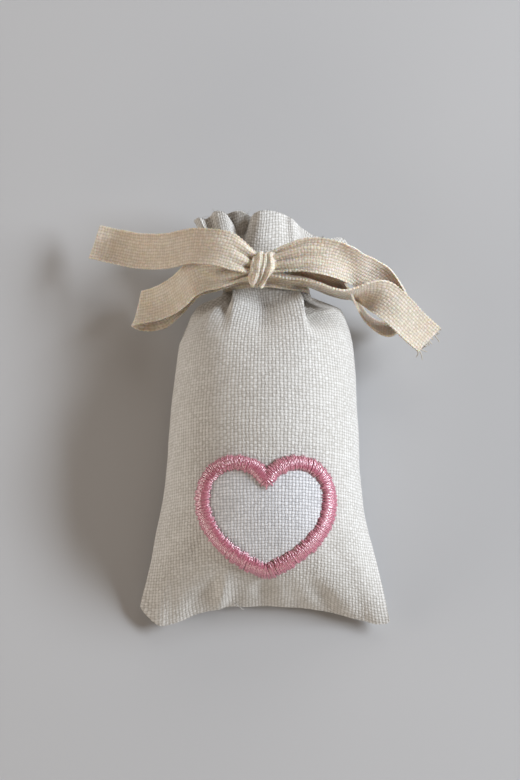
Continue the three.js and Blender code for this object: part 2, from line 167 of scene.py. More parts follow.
# Quads of a closed shell between two equal grids, with rims along the open borders
def shellFaces(rows, columns, wrapped=False):
    spans = columns if wrapped else columns - 1
    i, j = (g.ravel() for g in np.meshgrid(np.arange(rows - 1), np.arange(spans), indexing="ij"))
    wide = columns + 1 if wrapped else columns
    corners = [(i, j), (i, j + 1), (i + 1, j + 1), (i + 1, j)]
    faces, spots = [], []

    def add(layers, places):
        faces.append(np.stack([k * rows * columns + a * columns + b % columns for k, (a, b) in zip(layers, places)], 1))
        spots.append(np.stack([a * wide + b for a, b in places], 1))

    add((0, 0, 0, 0), corners)
    add((1, 1, 1, 1), corners[::-1])
    along = np.arange(spans)
    for row, turn in ((0, 1), (rows - 1, -1)):
        edge = np.full(spans, row)
        add((0, 1, 1, 0)[::turn], [(edge, along), (edge, along), (edge, along + 1), (edge, along + 1)][::turn])
    if not wrapped:
        along = np.arange(rows - 1)
        for column, turn in ((0, -1), (columns - 1, 1)):
            edge = np.full(rows - 1, column)
            add((0, 1, 1, 0)[::turn], [(along, edge), (along, edge), (along + 1, edge), (along + 1, edge)][::turn])
    return np.concatenate(faces), np.concatenate(spots)


# Cloth between two equal grids of points, with weave coordinates in millimetres
def makeCloth(name, outer, inner, weave, wrapped=False):
    rows, columns = outer.shape[:2]
    faces, spots = shellFaces(rows, columns, wrapped)
    points = np.concatenate([outer.reshape(-1, 3), inner.reshape(-1, 3)])
    return makePiece(name, points, faces, weave.reshape(-1, 2)[spots])


# Closed tubes: an oval carried along each path, its height towards up; each has its own stretch of pattern
def makeTubes(name, paths, width, height, up, sides=6):
    sharpAngle, patternStep = 80, 37.0
    count, rings = paths.shape[:2]
    along = unit(np.gradient(paths, axis=1))
    side = unit(np.cross(along, np.broadcast_to(up, paths.shape)))
    rise = np.cross(side, along)
    turn = 2 * np.pi * np.arange(sides) / sides
    width, height = (np.broadcast_to(w, (count, rings))[:, :, None, None] for w in (width, height))
    ring = np.cos(turn)[:, None] * side[:, :, None] * width + np.sin(turn)[:, None] * rise[:, :, None] * height
    body = paths[:, :, None] + ring
    caps = paths[:, [0, -1]]
    points = np.concatenate([body.reshape(count, -1, 3), caps], 1)
    size = rings * sides + 2
    i, j = (g.ravel() for g in np.meshgrid(np.arange(rings - 1), np.arange(sides), indexing="ij"))
    k = (j + 1) % sides
    wall = np.stack([i * sides + j, i * sides + k, (i + 1) * sides + k, (i + 1) * sides + j], 1)
    pairs = np.arange(0, sides, 2)
    two, three = (pairs + 1) % sides, (pairs + 2) % sides
    low = np.stack([np.full(len(pairs), size - 2), three, two, pairs], 1)
    last = (rings - 1) * sides
    high = np.stack([np.full(len(pairs), size - 1), last + pairs, last + two, last + three], 1)
    one = np.concatenate([wall, low, high])
    faces = (one[None] + size * np.arange(count)[:, None, None]).reshape(-1, 4)
    reach = lengthAlong(paths, 1)
    spot = np.zeros((count, size, 2))
    spot[:, :-2, 0] = np.tile(np.arange(sides) / sides, rings)
    spot[:, :-2, 1] = np.repeat(reach, sides, axis=1)
    spot[:, -2:, 1] = reach[:, [0, -1]]
    spot[:, :, 1] += patternStep * np.arange(count)[:, None]
    return makePiece(name, points, faces, spot.reshape(-1, 2)[faces], sharpAngle)


# Bag form in millimetres: the outer face of the cloth, resting on its back
bagSet = {
    "base": -53.2, "neck": 44.5, "mouth": 63.0, "cloth": 0.6, "columns": 132, "rows": 200,
    "flatReach": 55.0, "restStart": 9.0, "restEnd": 15.25, "sink": 0.9,
}
baseY, neckY, mouthY = (bagSet[k] for k in ("base", "neck", "mouth"))
halfRight = curveThrough([
    (-53.2, 37.1), (-50, 36.3), (-42.4, 34.4), (-34, 32.2), (-21.8, 29.3), (-10, 28.2), (8.9, 27.5), (24, 26.4),
    (29.6, 25.4), (34, 23.8), (37, 22), (39, 20.2), (41, 17.4), (44.5, 12),
])
halfLeft = curveThrough([
    (-53.2, 37.8), (-34, 34), (-15.7, 30.5), (8.9, 28.3), (25, 26.4), (30, 24.6), (34, 22.6), (37, 20.6), (39, 18.6),
    (41, 16), (44.5, 12),
])
crownLine = curveThrough([
    (-53.2, 3.5), (-52.2, 6), (-50, 10.4), (-47, 15.2), (-44.5, 18.3), (-41, 21.6), (-36, 25.1), (-30, 28.2), (-22, 31),
    (-12, 33.1), (0, 34.2), (10, 34.1), (20, 32.4), (27, 30.2), (33, 27.6), (38, 25.4), (44.5, 22.75),
])
seamLevel = curveThrough([(-53.2, 3.5), (-47, 5.2), (-38, 7.4), (-25, 9.0), (15.25, 9.5), (44.5, 14.8)])
lowerDepth = curveThrough([(15.25, 10.4), (44.5, 7.25)])
backPower = curveThrough([(15.25, 0.6), (34.75, 1.0)])
baseSweep = curveThrough([
    (-1, 0.1), (-0.967, -1.6), (-0.925, -3.15), (-0.89, -4.4), (-0.85, -5.5), (-0.81, -5.75), (-0.76, -5.35),
    (-0.64, -3.7), (-0.546, -2.1), (-0.395, -0.5), (-0.316, 0.15), (-0.18, 0), (0.054, 0), (0.354, -0.75), (0.61, -2.5),
    (0.78, -4.2), (0.908, -5.2), (0.965, -5.1), (1, -4.3),
])


# Width's share at each column: a cosine round the full body, straight where the base is flat
def spread(s, y):
    flat = np.clip(1 - (y - baseY) / bagSet["flatReach"], 0, 1) ** 1.5
    return (1 - flat) * np.cos(np.pi * s) + flat * (1 - 2 * s)


def halfWidth(across, y):
    return np.where(across > 0, halfRight(y), halfLeft(y))


# Back depth under the seam: a quarter oval from the base, then flat on the table, then up to the neck
def backDepth(y):
    fromBase = np.clip((y - baseY) / bagSet["restStart"], 0, 1)
    resting = (seamLevel(y) + bagSet["sink"]) * np.sqrt(1 - (1 - fromBase) ** 2)
    return np.where(y < bagSet["restEnd"], resting, lowerDepth(y))


# Gathered sections, right seam to left seam: share of the panel's width, then place (x, z) at neck and mouth
frontNeck = np.array([
    (0, 10.6, 14.6), (0.08, 11.2, 16.6), (0.15, 10.6, 18.4), (0.21, 8.8, 17.2), (0.27, 8.9, 18.6), (0.33, 10.3, 20.2),
    (0.39, 8.4, 20.8), (0.5, -0.6, 23), (0.61, -8.2, 22.2), (0.67, -10.3, 20.4), (0.73, -9, 19.4), (0.79, -8.8, 18.8),
    (0.85, -10.6, 18.3), (0.92, -11.2, 16.5), (1, -10.6, 14.6),
])
frontMouth = np.array([
    (0, 27.6, 8.8), (0.08, 23.2, 12.6), (0.16, 18.8, 14), (0.25, 14, 14.4), (0.32, 10.4, 16), (0.37, 8, 18.8),
    (0.41, 6.2, 19.2), (0.45, 4.1, 21.2), (0.5, 0.6, 22.8), (0.535, -1.6, 23.2), (0.57, -3.7, 21.8), (0.6, -4.9, 19.8),
    (0.64, -5.8, 18.4), (0.7, -8.2, 17.8), (0.75, -10.2, 19.4), (0.8, -12.6, 21.4), (0.85, -15.4, 21.2),
    (0.89, -16.8, 19.2), (0.93, -18.6, 18.8), (0.965, -20.6, 19.4), (1, -22, 14.4),
])
backNeck = np.array([
    (0, 10.6, 14.6), (0.12, 10.6, 12.4), (0.22, 8.6, 11), (0.3, 7, 11.6), (0.38, 5.6, 9.4), (0.5, 0.7, 8.2),
    (0.6, -3.8, 8.9), (0.68, -6.2, 11.2), (0.76, -8, 10.6), (0.88, -10.5, 12.4), (1, -10.6, 14.6),
])
backMouth = np.array([
    (0, 27.6, 8.8), (0.1, 23.6, 6.8), (0.2, 18, 9.6), (0.3, 12.2, 7.8), (0.4, 6, 11.4), (0.5, 0.2, 9),
    (0.58, -4.6, 18.6), (0.66, -7.6, 20.6), (0.74, -10.8, 19), (0.86, -16.2, 12.2), (0.94, -20, 11), (1, -22, 14.4),
])
frontReach = curveThrough([
    (0, 53), (0.04, 56.6), (0.08, 58.4), (0.15, 58), (0.24, 58.8), (0.29, 60.2), (0.33, 61.4), (0.37, 62.8),
    (0.42, 63.8), (0.5, 64.4), (0.56, 63.8), (0.6, 62.2), (0.65, 58.8), (0.7, 58.2), (0.75, 61.6), (0.8, 64.2),
    (0.86, 64.4), (0.92, 62.8), (1, 63.2),
], False)
backReach = curveThrough([
    (0, 53), (0.08, 56), (0.2, 57), (0.35, 59), (0.5, 61.4), (0.58, 63.4), (0.66, 64.8), (0.74, 64.6), (0.82, 63.4),
    (0.9, 62), (1, 63.2),
], False)


# Each gathered section as two curves over the panel's width
def sectionCurves(table):
    return curveThrough(table[:, [0, 1]], False), curveThrough(table[:, [0, 2]], False)


# Shoulder creases: side, place across by y, width towards the middle and outwards, depth by y
creaseSet = [
    (0, [(16, -0.04), (36, -0.07), (44.5, -0.06)], 0.46, 0.54,
     [(8, 0.0), (14, 0.4), (20, 1.1), (26, 2.2), (32, 3.6), (38, 4.4), (44.5, 4.4)]),
    (1, [(24, 0.53), (30, 0.55), (35, 0.58), (38, 0.63), (41, 0.74), (44.5, 0.85)], 0.10, 0.42,
     [(25, 0.0), (28, 1.0), (30, 2.4), (32, 4.0), (35.5, 5.8), (38, 6.4), (44.5, 5.4)]),
    (-1, [(24, 0.50), (30, 0.52), (35, 0.56), (38, 0.61), (41, 0.72), (44.5, 0.83)], 0.10, 0.18,
     [(24, 0.0), (28, 0.6), (32, 1.4), (36, 2.4), (44.5, 2.6)]),
    (-1, [(26, 1.02), (30, 0.97), (35, 0.86), (39.4, 0.76), (41.5, 0.72)], 0.20, 0.09,
     [(26, 0.0), (29, 0.8), (33, 1.8), (38, 2.4), (42, 2.2)]),
]


# Relief of the creases: a V with a rounded bottom along each line, with its own width on each side
def shoulderFolds(across, y):
    rounding, bottom, reach, power = 0.03, 0.173, 0.842, 1.2
    fold = np.zeros_like(across)
    for side, places, inner, outer, depths in creaseSet:
        off = (side or 1) * across - curveThrough(places)(y)
        away = np.sqrt(np.where(off < 0, off / inner, off / outer) ** 2 + rounding) - bottom
        slope = np.clip(1 - away / reach, 0, 1)
        fold -= curveThrough(depths)(y) * slope ** power * (side * across >= 0)
    return fold


# Dents and creases in the cloth: place, length, width, turn in degrees and depth
dentSet = [
    (-19.5, -49.4, 4.4, 2.8, 20, 1.1), (-13, -49, 5, 2.2, 72, -1.6), (-1, -49.6, 4, 3.2, 90, 1.6),
    (16.6, -49.8, 4.8, 2.6, -35, 1.5), (-29, -50, 7, 2.4, 80, 0.5), (29, -51, 6, 2.4, -64, 0.4),
    (-8, -50, 5, 2.4, 60, 0.5), (9, -51, 5, 2.4, -50, 0.5), (-21, -38, 10, 3, 60, 0.4), (22, -39, 11, 3, -58, 0.4),
]


# Sum of turned bells, one for each dent
def dents(x, y):
    relief = np.zeros_like(x)
    for cx, cy, long, wide, turn, depth in dentSet:
        c, s = math.cos(math.radians(turn)), math.sin(math.radians(turn))
        u, v = (x - cx) * c + (y - cy) * s, (y - cy) * c - (x - cx) * s
        relief -= depth * np.exp(-(u / long) ** 2 - (v / wide) ** 2)
    return relief


# Form of the panels; a wrinkle has height, cell and seed
panelSet = {
    "cornerDrop": 4.6, "sweepReach": 8.0, "tieStart": 36.0, "tieOver": 6.0, "flareStart": 2.0, "flare": 0.85,
    "backLift": 1.1, "wrinkles": ((0.16, 9, 5), (0.07, 4, 6)), "pinch": 0.25, "pinchWidth": 0.012, "pinchStart": 8.0,
    "pinchOver": 20.0, "creaseEnd": 38.0, "creaseOver": 5.0,
}


# One panel's outer face over share of width s and place along the bag y: an oval body section eased into the
# gathered neck section, then on to the mouth section; the base edge is swept along its own curve
def panelSurface(s, y, front):
    form = panelSet
    across = spread(s, y)
    x = across * halfWidth(across, y)
    rise = np.maximum(np.sin(np.pi * s), 0)
    if front:
        z = seamLevel(y) + (crownLine(y) - seamLevel(y)) * rise
        neck, mouth, reach, lift = frontNeck, frontMouth, frontReach, form["flare"]
    else:
        z = seamLevel(y) - backDepth(y) * rise ** backPower(y)
        neck, mouth, reach, lift = backNeck, backMouth, backReach, form["backLift"]
    neckX, neckZ = sectionCurves(neck)
    mouthX, mouthZ = sectionCurves(mouth)
    nearBase = 1 - np.clip((y - baseY) / (neckY - baseY), 0, 1)
    broad = -form["cornerDrop"] * np.abs(across) ** 1.8
    sweep = broad * nearBase ** 3 + (baseSweep(across) - broad) * np.exp(-((y - baseY) / form["sweepReach"]) ** 2)
    body = joined(x, y + sweep, z)
    flareY = neckY + form["flareStart"]
    intoFrill = np.clip((y - flareY) / (mouthY - flareY), 0, 1)
    pastNeck = np.clip((y - neckY) / (mouthY - neckY), 0, 1)
    gathered = joined(
        neckX(s) + (mouthX(s) - neckX(s)) * intoFrill ** form["flare"],
        np.where(y > neckY, neckY + (reach(s) - neckY) * pastNeck, y),
        neckZ(s) + (mouthZ(s) - neckZ(s)) * intoFrill ** lift,
    )
    tied = eased((y - form["tieStart"]) / form["tieOver"])
    surface = body * (1 - tied[..., None]) + gathered * tied[..., None]
    normal = gridNormals(surface) * (1 if front else -1)
    u, v = surface[..., 0] + 80, surface[..., 1] + 120
    wrinkles = sum(height * softNoise(u, v, cell, seed) for height, cell, seed in form["wrinkles"])
    bySeam = bell(np.minimum(s, 1 - s), form["pinchWidth"], form["pinchWidth"])
    pinch = form["pinch"] * bySeam * eased((y - baseY - form["pinchStart"]) / form["pinchOver"])
    relief = (wrinkles - pinch) * (1 - tied)
    if front:
        folds = shoulderFolds(across, y) * (1 - eased((y - form["creaseEnd"]) / form["creaseOver"]))
        relief = relief + folds + dents(x, y) * (1 - tied)
    surface = surface + normal * relief[..., None]
    surface[..., 2] = np.maximum(surface[..., 2], 0)
    return surface


# Rows spaced evenly along the middle of the front, so the steep base has enough of them
def panelRows():
    y = np.linspace(baseY, mouthY, 1200)
    length = lengthAlong(joined(y, crownLine(y)), 0)
    return np.interp(np.linspace(0, length[-1], bagSet["rows"]), length, y)


rowY = panelRows()
columnS = np.linspace(0, 1, bagSet["columns"])
gridS, gridY = np.meshgrid(columnS, rowY)
frontGrid = panelSurface(gridS, gridY, True)
backGrid = panelSurface(gridS, gridY, False)
frontGrid[0] = backGrid[0] = (frontGrid[0] + backGrid[0]) / 2
for column in (0, -1):
    frontGrid[:, column] = backGrid[:, column] = (frontGrid[:, column] + backGrid[:, column]) / 2
middleRow = np.searchsorted(rowY, -5)
print("bag surface made")


# Weave coordinates: across is the length round the middle row, along is the length of each warp thread from that row
def panelWeave(grid):
    along = lengthAlong(grid, 0)
    across = lengthAlong(grid[middleRow], 0)
    return joined(across - across[-1] / 2, along - along[middleRow])


frontNormal = gridNormals(frontGrid)
backNormal = -gridNormals(backGrid)
frontWeave, backWeave = panelWeave(frontGrid), panelWeave(backGrid)

# The cloth thins towards its seams, so neither panel shows through the other there
seamSet = {"thinnest": 0.1, "width": 0.04, "height": 4.0, "top": 40.0}
fromSeam = eased(np.minimum(gridS, 1 - gridS) / seamSet["width"]) * eased((gridY - baseY) / seamSet["height"])
seamShare = seamSet["thinnest"] + (1 - seamSet["thinnest"]) * fromSeam
clothDepth = bagSet["cloth"] * np.where(gridY > seamSet["top"], 1, seamShare)[..., None]
frontPanel = makeCloth("linenFrontPanel", frontGrid, frontGrid - clothDepth * frontNormal, frontWeave)
backPanel = makeCloth("linenBackPanel", backGrid, backGrid - clothDepth * backNormal, backWeave)


# Reads any grid of the front panel at x and y: the column is found by Newton steps, then values are interpolated
def frontSampler(flat):
    x, y = flat[..., 0], flat[..., 1]
    across = x / halfWidth(x, y)
    s = np.arccos(np.clip(across, -1, 1)) / np.pi
    tiny = 1e-4
    for step in range(8):
        slope = (spread(s + tiny, y) - spread(s - tiny, y)) / (2 * tiny)
        s = np.clip(s - (spread(s, y) - across) / slope, 0.01, 0.99)
    column = s * (len(columnS) - 1)
    row = np.interp(y, rowY, np.arange(len(rowY)))
    i = np.clip(row.astype(int), 0, len(rowY) - 2)
    j = np.clip(column.astype(int), 0, len(columnS) - 2)
    a, b = (row - i)[..., None], (column - j)[..., None]

    def sample(grid):
        low = grid[i, j] * (1 - b) + grid[i, j + 1] * b
        return low * (1 - a) + (grid[i + 1, j] * (1 - b) + grid[i + 1, j + 1] * b) * a

    return sample


# Places at some height over the front panel
def onFront(flat, height):
    sample = frontSampler(flat)
    return sample(frontGrid) + unit(sample(frontNormal)) * np.asarray(height)[..., None]


# Weave coordinates under closed rings of places on the front
def ringWeave(flat):
    weave = frontSampler(flat)(frontWeave)
    return np.concatenate([weave, weave[:, :1]], 1)


# Heart: middle line of the border, two Bezier arcs from cleft to tip, mirrored
heartSet = {"width": 36.8, "height": 31.0, "cleftDepth": 6.0, "tip": -43.9, "border": 4.6, "stitches": 264}


def heartLine():
    half, tip, cleftDepth = heartSet["width"] / 2, heartSet["tip"], heartSet["cleftDepth"]
    top = tip + heartSet["height"]
    cleft = top - cleftDepth

    def level(share):
        return top + (tip - top) * share

    widest = (half, level(0.34))
    arcs = [
        [(0, cleft), (half * 0.2, cleft + cleftDepth * 1.25), (half, top + cleftDepth * 0.45), widest],
        [widest, (half, level(0.66)), (half * 0.45, level(0.90)), (0, tip)],
    ]
    t = np.linspace(0, 1, 200)[:, None]
    curve = []
    for a, b, c, d in np.array(arcs):
        curve.append((1 - t) ** 3 * a + 3 * (1 - t) ** 2 * t * b + 3 * (1 - t) * t ** 2 * c + t ** 3 * d)
    line = np.concatenate([curve[0], curve[1][1:]])
    return np.concatenate([line, line[-2::-1] * (-1, 1)])


heartPath = heartLine()
heartReach = lengthAlong(heartPath, 0)


# Points of the heart's line at some lengths along it, and the directions out of it
def heartAt(length):
    span = 0.8

    def place(at):
        return joined(*(np.interp(at % heartReach[-1], heartReach, heartPath[:, k]) for k in range(2)))

    along = unit(place(length + span) - place(length - span))
    return place(length), joined(-along[..., 1], along[..., 0])


# The heart's patch or backing: its outline drawn towards the middle, laid over the front between two heights
def heartSheet(name, margin, low, high):
    point, out = heartAt(np.linspace(0, heartReach[-1], 160, endpoint=False))
    edge = point + out * margin
    middle = np.array([0, heartSet["tip"] + heartSet["height"] * 0.55])
    flat = middle + (edge - middle) * np.linspace(0.003, 1, 22)[:, None, None]
    return makeCloth(name, onFront(flat, high), onFront(flat, low), ringWeave(flat), True)


heartPatch = heartSheet("heartPatch", 0.6, 0.05, 0.42)
heartBacking = heartSheet("heartBacking", 3.0, -1.2, -0.9)


# Satin border: a low pink bed, and stitches that arch over it from edge to edge with small uneven ends
satinSet = {
    "seed": 11, "shift": 0.08, "ends": (-0.4, 0.3), "slant": 0.2, "foot": 0.12, "arch": 1.4, "uneven": 0.07,
    "thick": 0.27, "taper": (0.5, 0.85, 1, 1, 1, 1, 1, 0.85, 0.5), "flatness": 0.8, "bedInset": 0.35, "bedFoot": 0.1,
    "bedArch": 1.2,
}
acrossBorder = np.linspace(-1, 1, len(satinSet["taper"]))
borderArch = np.sqrt(np.maximum(1 - acrossBorder ** 2, 0))


def satinBorder():
    count, shift, uneven = heartSet["stitches"], satinSet["shift"], satinSet["uneven"]
    rng = np.random.default_rng(satinSet["seed"])
    length = (np.arange(count) + rng.uniform(-shift, shift, count)) * heartReach[-1] / count
    point, out = heartAt(length)
    t = acrossBorder
    reach = heartSet["border"] / 2 + rng.uniform(*satinSet["ends"], (count, 2))
    offset = np.where(t < 0, reach[:, :1], reach[:, 1:]) * t
    lean = rng.uniform(-shift, shift, count)[:, None] + satinSet["slant"] * t
    along = joined(-out[:, 1], out[:, 0])
    flat = point[:, None] + out[:, None] * offset[..., None] + along[:, None] * lean[..., None]
    height = satinSet["foot"] + satinSet["arch"] * borderArch + rng.uniform(-uneven, uneven, count)[:, None]
    paths = onFront(flat, height)
    up = unit(paths - onFront(flat, height - 1))
    thick = satinSet["thick"] * np.array(satinSet["taper"])
    return makeTubes("heartStitches", paths, thick, thick * satinSet["flatness"], up)


def satinBed():
    point, out = heartAt(np.linspace(0, heartReach[-1], 240, endpoint=False))
    half = heartSet["border"] / 2 - satinSet["bedInset"]
    flat = point[None] + out[None] * (acrossBorder * half)[:, None, None]
    height = np.broadcast_to((satinSet["bedFoot"] + satinSet["bedArch"] * borderArch)[:, None], flat.shape[:2])
    return makeCloth("heartStitchBed", onFront(flat, height), onFront(flat, 0), ringWeave(flat), True)


heartStitches = satinBorder()
heartBed = satinBed()
print("heart made")


# Tape strips: stations from the knot (x, y, z), direction across, and share of the tape's width where it is drawn in
tapeSet = {
    "width": 10.7, "thickness": 0.62, "knot": (0.0, 44.5, 30.3), "steps": 200, "strands": 17, "cup": 0.2,
    "bandHalf": 5, "crumple": 0.95, "scallop": 0.13, "pick": 1.05, "wave": 0.25, "cutFrom": 0.86,
}
leftTailRoute = [
    (-1, 0.9, 0.3, 0.31, 0.95, 0, 0.45), (-2.8, 1.6, 0.7, 0.31, 0.95, 0, 0.52),
    (-4.8, 2.4, 1.2, 0.19, 0.98, 0.03, 0.68), (-7.3, 3.6, 2, 0.11, 0.99, 0.02, 0.86), (-10.7, 5, 2.5, 0.11, 0.99, 0.02),
    (-14.1, 6, 2.2, 0.13, 0.99, 0.02), (-18.3, 6.9, 0.4, 0.08, 1, 0.02), (-22.1, 7.6, -2, 0.05, 1, 0),
    (-25.3, 7.6, -4.6, -0.03, 1, 0), (-29.1, 7.5, -7.9, -0.09, 1, 0), (-34.3, 8.3, -12.2, -0.06, 1, 0),
    (-39.5, 9.6, -16.2, -0.04, 1, 0), (-45, 11.4, -19.2, 0.04, 1, 0), (-49.9, 12.8, -20.6, 0.13, 0.99, 0),
    (-52.4, 13.4, -20.9, 0.13, 0.99, 0),
]
leftLoopRoute = [
    (-1.2, 0.3, -0.4, 0.29, 0.96, 0, 0.4), (-3.3, 0.3, -0.3, 0.29, 0.96, 0, 0.42),
    (-5.9, 0, 0.1, 0.13, 0.99, 0.07, 0.52), (-9.6, -0.3, -0.4, 0.05, 0.99, 0.12, 0.72),
    (-14.1, -0.3, -1.6, -0.1, 0.99, 0.02, 0.93), (-18.8, -0.4, -4.4, -0.29, 0.95, -0.09),
    (-22.7, -1.8, -7.2, -0.31, 0.92, -0.22), (-25.5, -3.8, -10.6, -0.39, 0.87, -0.31),
    (-29.1, -5.6, -14.3, -0.41, 0.87, -0.28), (-33.2, -6.7, -17.8, -0.29, 0.93, -0.22),
    (-36.5, -7, -20, -0.02, 0.99, -0.15), (-39, -7.3, -21.9, 0.26, 0.96, -0.05), (-37.9, -8.1, -23.8, 0.13, 0.99, 0.02),
    (-35, -8.3, -24.3, 0.02, 1, 0.08), (-31.6, -7.4, -23, -0.09, 0.99, 0.06), (-28, -5, -20, -0.2, 0.98, 0.02),
    (-24.6, -2.5, -15.8, -0.25, 0.97, 0.02), (-20.8, -0.4, -10.9, -0.18, 0.98, 0),
    (-14.9, -0.4, -5.7, -0.08, 1, 0, 0.9), (-8.9, -0.4, -3, 0, 1, 0.04, 0.62), (-5.4, -0.5, -2, 0, 1, 0.05, 0.48),
    (-2.8, -0.3, -1.8, 0.09, 0.99, 0.06, 0.4), (-1, -0.2, -1.8, 0.09, 0.99, 0.06, 0.38),
]
rightLoopRoute = [
    (0.7, 1.9, 0.6, 0.08, 0.98, 0.16, 0.48), (3.7, 2.5, 1.4, 0.06, 0.99, 0.12, 0.62),
    (6.9, 3.1, 2.2, 0.06, 0.99, 0.12, 0.74), (10.6, 3.6, 2.8, -0.1, 0.98, 0.16, 0.88),
    (14, 3.5, 3, -0.11, 0.98, 0.18, 0.97), (17.7, 3.2, 2.2, -0.08, 0.95, 0.3), (21.6, 2.7, 0, -0.08, 0.83, 0.55),
    (25.1, 1.9, -2.8, -0.06, 0.65, 0.76), (28.3, 0.7, -5.8, -0.03, 0.61, 0.79), (31.6, 0, -9.5, 0.05, 0.61, 0.79),
    (35.1, -1.6, -13, 0.09, 0.62, 0.78), (38.3, -4.4, -16.1, 0.15, 0.56, 0.81), (40.7, -7, -18, 0.2, 0.44, 0.87),
    (41.9, -8.7, -19, 0.19, 0.27, 0.95), (41.8, -10.4, -19.8, 0.14, 0.08, 0.99), (40.7, -12.6, -20.7, 0.1, -0.2, 0.97),
    (38.4, -13.8, -21.7, 0.03, -0.5, 0.87), (35.7, -13.5, -21.9, -0.01, -0.55, 0.83),
    (32.9, -12.4, -21.3, -0.05, -0.47, 0.88), (30.1, -10.1, -20, -0.1, -0.4, 0.91),
    (28.1, -7.4, -18.1, -0.13, -0.25, 0.93), (26.2, -5.2, -15.8, -0.13, -0.05, 0.95),
    (22.6, -2.5, -12.3, -0.1, 0.18, 0.97), (17.8, -0.9, -9.1, -0.06, 0.32, 0.94, 0.97),
    (12.7, 0.2, -5.7, -0.06, 0.36, 0.93, 0.85), (7.7, 0.5, -3.3, -0.01, 0.36, 0.93, 0.6),
    (3.8, 0.4, -1.9, -0.01, 0.35, 0.94, 0.45), (0.6, 0.3, -1.6, 0, 0.35, 0.94, 0.4),
]
rightTailRoute = [
    (0.3, -1, -2.9, 0, 0.14, 0.99, 0.48), (3.5, -1.5, -3.1, -0.01, 0.08, 1, 0.56),
    (7.7, -2.1, -4.2, -0.01, 0.06, 1, 0.72), (11.8, -2.6, -5.7, 0.01, 0.03, 1, 0.88),
    (15.8, -3.5, -7.1, 0.04, -0.01, 1, 0.98), (19.9, -4.7, -8.5, 0.06, -0.03, 1), (23.5, -5.3, -9.6, 0.06, 0, 1),
    (26.8, -4.9, -10.3, 0.09, 0.12, 0.99), (29.5, -4.6, -10.3, 0.26, 0.31, 0.92), (32.5, -5.2, -10.1, 0.47, 0.57, 0.67),
    (35.3, -6.6, -10.2, 0.58, 0.76, 0.26), (38, -8.6, -10.9, 0.6, 0.79, 0.05), (40.8, -10.9, -12.1, 0.6, 0.79, -0.06),
    (43.6, -13.5, -13.8, 0.59, 0.78, -0.14), (46.4, -15.8, -15.5, 0.58, 0.77, -0.2),
    (49.2, -18, -16.9, 0.57, 0.77, -0.22),
]


# Middle line, across and width of a strip at steps even in length
def stripPath(stations):
    table = np.array([(*row, 1)[:7] for row in stations], float)
    at = lengthAlong(table[:, :3], 0)
    curves = [curveThrough(joined(at, table[:, k]), False) for k in range(6)]
    share = curveThrough(joined(at, table[:, 6]))
    fine = np.linspace(0, at[-1], 2000)
    length = lengthAlong(joined(*(c(fine) for c in curves[:3])), 0)
    even = np.interp(np.linspace(0, length[-1], tapeSet["steps"]), length, fine)
    middle = joined(*(c(even) for c in curves[:3])) + np.array(tapeSet["knot"])
    return middle, unit(joined(*(c(even) for c in curves[3:]))), share(even), length[-1]


# A strip: straight lines across, carried along its middle and longer where they lie aslant; where it is drawn narrow
# it crumples into lengthwise creases, its woven edges are finely scalloped, and a cut may slant
def makeStrip(name, stations, slant, seed):
    middle, edge, share, length = stripPath(stations)
    along = unit(np.gradient(middle, axis=0))
    cross = np.cross(edge, along)
    face = unit(cross) * (1 if middle[-1, 0] + middle[len(middle) // 2, 0] < 0 else -1)
    w = np.linspace(-1, 1, tapeSet["strands"])
    run = np.linspace(0, length, tapeSet["steps"])[:, None]
    half = tapeSet["width"] / 2 * share / np.maximum(np.linalg.norm(cross, axis=1), 0.6)
    narrow = np.sqrt(np.maximum(1 - share ** 2, 0))[:, None]
    crumple = tapeSet["crumple"] * narrow * np.cos(2.6 * np.pi * w + 0.8 * np.sin(run / 5) + seed)
    scallop = tapeSet["scallop"] * np.sin(2 * np.pi * run / tapeSet["pick"] + seed) * np.abs(w) ** 8 * np.sign(w)
    wave = tapeSet["wave"] * softNoise(run + 50, 9 * w + 40, 7, 20 + seed)
    outer = (
        middle[:, None]
        + edge[:, None] * (half[:, None] * w + scallop)[..., None]
        + face[:, None] * (crumple + tapeSet["cup"] * w ** 2 * share[:, None] + wave)[..., None]
    )
    ending = eased((run / length - tapeSet["cutFrom"]) / (1 - tapeSet["cutFrom"])) * slant * w
    outer = outer + along[:, None] * ending[..., None]
    depth = tapeSet["thickness"] / 2 * gridNormals(outer)
    lean = ((edge * along).sum(1) * half)[:, None] * w
    weave = joined(w * tapeSet["width"] / 2, run + lean + ending)
    return makeCloth(name, outer + depth, outer - depth, weave), length


leftTail, leftTailLength = makeStrip("tapeLeftTail", leftTailRoute, -1.0, 1)
leftLoop, leftLoopLength = makeStrip("tapeLeftLoop", leftLoopRoute, 0, 2)
rightLoop, rightLoopLength = makeStrip("tapeRightLoop", rightLoopRoute, 0, 3)
rightTail, rightTailLength = makeStrip("tapeRightTail", rightTailRoute, 0.5, 4)


# Weave coordinates of a closed band of tape
def bandWeave(w, turn, radius):
    return joined(w * tapeSet["bandHalf"], np.append(turn, 2 * np.pi) * radius)


# Neck turns: a creased band carried round the neck's oval, just outside the gathered cloth
wrapSet = {
    "width": 8.2, "room": 0.6, "around": 200, "strands": 21, "centre": (0.0, 44.4, 15.6), "half": (11.7, 7.7),
    "creases": 3.3, "rough": 0.25, "lip": 0.3, "thickness": 0.6, "weaveRadius": 10.6,
}


